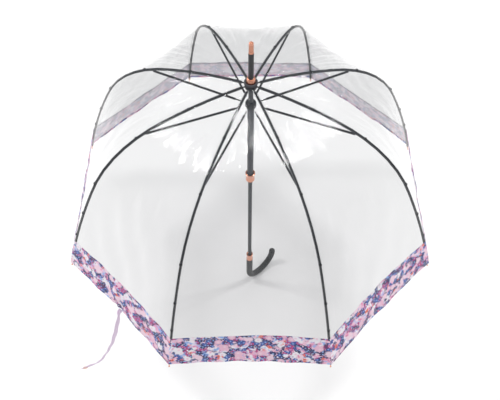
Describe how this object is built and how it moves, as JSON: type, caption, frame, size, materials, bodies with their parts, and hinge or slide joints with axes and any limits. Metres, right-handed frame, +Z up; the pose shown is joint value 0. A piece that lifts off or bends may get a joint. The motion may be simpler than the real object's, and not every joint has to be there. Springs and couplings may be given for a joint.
{
  "type": "clear bubble umbrella",
  "caption": "Deep clear dome umbrella with a patterned fabric hem, folding ribs on a sliding runner, and a crook handle.",
  "frame": {"origin": "middle of the hand grip, on the shaft axis", "axes": "+Z up the shaft towards the ferrule; the crook bends towards +X +Y; rib pairs straddle each horizontal axis"},
  "size_m": [0.828, 0.828, 0.9463],
  "materials": {
    "black_steel": "satin black",
    "black_plastic": "matt",
    "sleeve": "satin",
    "rose_metal": "polished rose plating",
    "handle_cover": "fine grain",
    "clear_sheet": "clear gloss",
    "hem_cloth": "printed woven"
  },
  "bodies": {
    "shaft": {"shaft_tube": "black_steel", "ferrule_rod": "black_steel", "ferrule_tip": "rose_metal", "crown_cap": "rose_metal", "crown_rosette": "black_plastic", "crown_notch": "black_plastic", "crown_wire": "black_steel", "handle_collar": "rose_metal", "handle_crook": "handle_cover", "canopy_gore_1": "clear_sheet", "canopy_gore_2": "clear_sheet", "canopy_gore_3": "clear_sheet", "canopy_gore_4": "clear_sheet", "canopy_gore_5": "clear_sheet", "canopy_gore_6": "clear_sheet", "canopy_gore_7": "clear_sheet", "canopy_gore_8": "clear_sheet", "hem_band": "hem_cloth", "tie_strap": "hem_cloth", "strap_snap": "rose_metal"},
    "runner": {"runner_hub": "black_plastic", "runner_sleeve": "sleeve", "runner_collar": "rose_metal"},
    "top_catch": {"top_catch": "black_steel"},
    "lower_catch": {"lower_catch": "black_steel"},
    "rib_upper_1": {"rib_upper_1": "black_steel"},
    "rib_lower_1": {"rib_lower_1": "black_steel", "rib_tip_1": "rose_metal"},
    "stretcher_1": {"stretcher_1": "black_steel"},
    "rib_upper_2": {"rib_upper_2": "black_steel"},
    "rib_lower_2": {"rib_lower_2": "black_steel", "rib_tip_2": "rose_metal"},
    "stretcher_2": {"stretcher_2": "black_steel"},
    "rib_upper_3": {"rib_upper_3": "black_steel"},
    "rib_lower_3": {"rib_lower_3": "black_steel", "rib_tip_3": "rose_metal"},
    "stretcher_3": {"stretcher_3": "black_steel"},
    "rib_upper_4": {"rib_upper_4": "black_steel"},
    "rib_lower_4": {"rib_lower_4": "black_steel", "rib_tip_4": "rose_metal"},
    "stretcher_4": {"stretcher_4": "black_steel"},
    "rib_upper_5": {"rib_upper_5": "black_steel"},
    "rib_lower_5": {"rib_lower_5": "black_steel", "rib_tip_5": "rose_metal"},
    "stretcher_5": {"stretcher_5": "black_steel"},
    "rib_upper_6": {"rib_upper_6": "black_steel"},
    "rib_lower_6": {"rib_lower_6": "black_steel", "rib_tip_6": "rose_metal"},
    "stretcher_6": {"stretcher_6": "black_steel"},
    "rib_upper_7": {"rib_upper_7": "black_steel"},
    "rib_lower_7": {"rib_lower_7": "black_steel", "rib_tip_7": "rose_metal"},
    "stretcher_7": {"stretcher_7": "black_steel"},
    "rib_upper_8": {"rib_upper_8": "black_steel"},
    "rib_lower_8": {"rib_lower_8": "black_steel", "rib_tip_8": "rose_metal"},
    "stretcher_8": {"stretcher_8": "black_steel"}
  },
  "joints": [
    {"name": "runner_slide", "type": "slide", "parent": "shaft", "child": "runner", "axis": [0, 0, 1], "range_m": [-0.3568, 0], "deforming": ["canopy_gore_1", "canopy_gore_2", "canopy_gore_3", "canopy_gore_4", "canopy_gore_5", "canopy_gore_6", "canopy_gore_7", "canopy_gore_8", "hem_band", "tie_strap", "strap_snap"]},
    {"name": "top_catch_press", "type": "slide", "parent": "shaft", "child": "top_catch", "axis": [1, 0, 0], "range_m": [-0.0008, 0], "stiffness_N_per_m": 400},
    {"name": "lower_catch_press", "type": "slide", "parent": "shaft", "child": "lower_catch", "axis": [1, 0, 0], "range_m": [-0.0008, 0], "stiffness_N_per_m": 400},
    {"name": "rib_1_crown", "type": "hinge", "parent": "shaft", "child": "rib_upper_1", "pos_m": [0.00383, -0.00924, 0.742], "axis": [0.9239, 0.3827, 0], "range_deg": [0, 67.01]},
    {"name": "rib_1_bend", "type": "hinge", "parent": "rib_upper_1", "child": "rib_lower_1", "pos_m": [0.11145, -0.26906, 0.65261], "axis": [0.9239, 0.3827, 0], "range_deg": [-38.82, 0]},
    {"name": "stretcher_1_lug", "type": "hinge", "parent": "rib_upper_1", "child": "stretcher_1", "pos_m": [0.08276, -0.1998, 0.69497], "axis": [0.9239, 0.3827, 0], "range_deg": [-144.24, 0]},
    {"name": "rib_2_crown", "type": "hinge", "parent": "shaft", "child": "rib_upper_2", "pos_m": [0.00924, -0.00383, 0.742], "axis": [0.3827, 0.9239, 0], "range_deg": [0, 67.01]},
    {"name": "rib_2_bend", "type": "hinge", "parent": "rib_upper_2", "child": "rib_lower_2", "pos_m": [0.26906, -0.11145, 0.65261], "axis": [0.3827, 0.9239, 0], "range_deg": [-38.82, 0]},
    {"name": "stretcher_2_lug", "type": "hinge", "parent": "rib_upper_2", "child": "stretcher_2", "pos_m": [0.1998, -0.08276, 0.69497], "axis": [0.3827, 0.9239, 0], "range_deg": [-144.24, 0]},
    {"name": "rib_3_crown", "type": "hinge", "parent": "shaft", "child": "rib_upper_3", "pos_m": [0.00924, 0.00383, 0.742], "axis": [-0.3827, 0.9239, 0], "range_deg": [0, 67.01]},
    {"name": "rib_3_bend", "type": "hinge", "parent": "rib_upper_3", "child": "rib_lower_3", "pos_m": [0.26906, 0.11145, 0.65261], "axis": [-0.3827, 0.9239, 0], "range_deg": [-38.82, 0]},
    {"name": "stretcher_3_lug", "type": "hinge", "parent": "rib_upper_3", "child": "stretcher_3", "pos_m": [0.1998, 0.08276, 0.69497], "axis": [-0.3827, 0.9239, 0], "range_deg": [-144.24, 0]},
    {"name": "rib_4_crown", "type": "hinge", "parent": "shaft", "child": "rib_upper_4", "pos_m": [0.00383, 0.00924, 0.742], "axis": [-0.9239, 0.3827, 0], "range_deg": [0, 67.01]},
    {"name": "rib_4_bend", "type": "hinge", "parent": "rib_upper_4", "child": "rib_lower_4", "pos_m": [0.11145, 0.26906, 0.65261], "axis": [-0.9239, 0.3827, 0], "range_deg": [-38.82, 0]},
    {"name": "stretcher_4_lug", "type": "hinge", "parent": "rib_upper_4", "child": "stretcher_4", "pos_m": [0.08276, 0.1998, 0.69497], "axis": [-0.9239, 0.3827, 0], "range_deg": [-144.24, 0]},
    {"name": "rib_5_crown", "type": "hinge", "parent": "shaft", "child": "rib_upper_5", "pos_m": [-0.00383, 0.00924, 0.742], "axis": [-0.9239, -0.3827, 0], "range_deg": [0, 67.01]},
    {"name": "rib_5_bend", "type": "hinge", "parent": "rib_upper_5", "child": "rib_lower_5", "pos_m": [-0.11145, 0.26906, 0.65261], "axis": [-0.9239, -0.3827, 0], "range_deg": [-38.82, 0]},
    {"name": "stretcher_5_lug", "type": "hinge", "parent": "rib_upper_5", "child": "stretcher_5", "pos_m": [-0.08276, 0.1998, 0.69497], "axis": [-0.9239, -0.3827, 0], "range_deg": [-144.24, 0]},
    {"name": "rib_6_crown", "type": "hinge", "parent": "shaft", "child": "rib_upper_6", "pos_m": [-0.00924, 0.00383, 0.742], "axis": [-0.3827, -0.9239, 0], "range_deg": [0, 67.01]},
    {"name": "rib_6_bend", "type": "hinge", "parent": "rib_upper_6", "child": "rib_lower_6", "pos_m": [-0.26906, 0.11145, 0.65261], "axis": [-0.3827, -0.9239, 0], "range_deg": [-38.82, 0]},
    {"name": "stretcher_6_lug", "type": "hinge", "parent": "rib_upper_6", "child": "stretcher_6", "pos_m": [-0.1998, 0.08276, 0.69497], "axis": [-0.3827, -0.9239, 0], "range_deg": [-144.24, 0]},
    {"name": "rib_7_crown", "type": "hinge", "parent": "shaft", "child": "rib_upper_7", "pos_m": [-0.00924, -0.00383, 0.742], "axis": [0.3827, -0.9239, 0], "range_deg": [0, 67.01]},
    {"name": "rib_7_bend", "type": "hinge", "parent": "rib_upper_7", "child": "rib_lower_7", "pos_m": [-0.26906, -0.11145, 0.65261], "axis": [0.3827, -0.9239, 0], "range_deg": [-38.82, 0]},
    {"name": "stretcher_7_lug", "type": "hinge", "parent": "rib_upper_7", "child": "stretcher_7", "pos_m": [-0.1998, -0.08276, 0.69497], "axis": [0.3827, -0.9239, 0], "range_deg": [-144.24, 0]},
    {"name": "rib_8_crown", "type": "hinge", "parent": "shaft", "child": "rib_upper_8", "pos_m": [-0.00383, -0.00924, 0.742], "axis": [0.9239, -0.3827, 0], "range_deg": [0, 67.01]},
    {"name": "rib_8_bend", "type": "hinge", "parent": "rib_upper_8", "child": "rib_lower_8", "pos_m": [-0.11145, -0.26906, 0.65261], "axis": [0.9239, -0.3827, 0], "range_deg": [-38.82, 0]},
    {"name": "stretcher_8_lug", "type": "hinge", "parent": "rib_upper_8", "child": "stretcher_8", "pos_m": [-0.08276, -0.1998, 0.69497], "axis": [0.9239, -0.3827, 0], "range_deg": [-144.24, 0]}
  ],
  "couplings": [
    {"joint": "rib_1_crown", "follows": "runner_slide", "rad_per_m": -3.2773},
    {"joint": "rib_1_bend", "follows": "runner_slide", "rad_per_m": 1.8983},
    {"joint": "stretcher_1_lug", "follows": "runner_slide", "rad_per_m": 7.0548},
    {"joint": "rib_2_crown", "follows": "runner_slide", "rad_per_m": -3.2773},
    {"joint": "rib_2_bend", "follows": "runner_slide", "rad_per_m": 1.8983},
    {"joint": "stretcher_2_lug", "follows": "runner_slide", "rad_per_m": 7.0548},
    {"joint": "rib_3_crown", "follows": "runner_slide", "rad_per_m": -3.2773},
    {"joint": "rib_3_bend", "follows": "runner_slide", "rad_per_m": 1.8983},
    {"joint": "stretcher_3_lug", "follows": "runner_slide", "rad_per_m": 7.0548},
    {"joint": "rib_4_crown", "follows": "runner_slide", "rad_per_m": -3.2773},
    {"joint": "rib_4_bend", "follows": "runner_slide", "rad_per_m": 1.8983},
    {"joint": "stretcher_4_lug", "follows": "runner_slide", "rad_per_m": 7.0548},
    {"joint": "rib_5_crown", "follows": "runner_slide", "rad_per_m": -3.2773},
    {"joint": "rib_5_bend", "follows": "runner_slide", "rad_per_m": 1.8983},
    {"joint": "stretcher_5_lug", "follows": "runner_slide", "rad_per_m": 7.0548},
    {"joint": "rib_6_crown", "follows": "runner_slide", "rad_per_m": -3.2773},
    {"joint": "rib_6_bend", "follows": "runner_slide", "rad_per_m": 1.8983},
    {"joint": "stretcher_6_lug", "follows": "runner_slide", "rad_per_m": 7.0548},
    {"joint": "rib_7_crown", "follows": "runner_slide", "rad_per_m": -3.2773},
    {"joint": "rib_7_bend", "follows": "runner_slide", "rad_per_m": 1.8983},
    {"joint": "stretcher_7_lug", "follows": "runner_slide", "rad_per_m": 7.0548},
    {"joint": "rib_8_crown", "follows": "runner_slide", "rad_per_m": -3.2773},
    {"joint": "rib_8_bend", "follows": "runner_slide", "rad_per_m": 1.8983},
    {"joint": "stretcher_8_lug", "follows": "runner_slide", "rad_per_m": 7.0548}
  ]
}
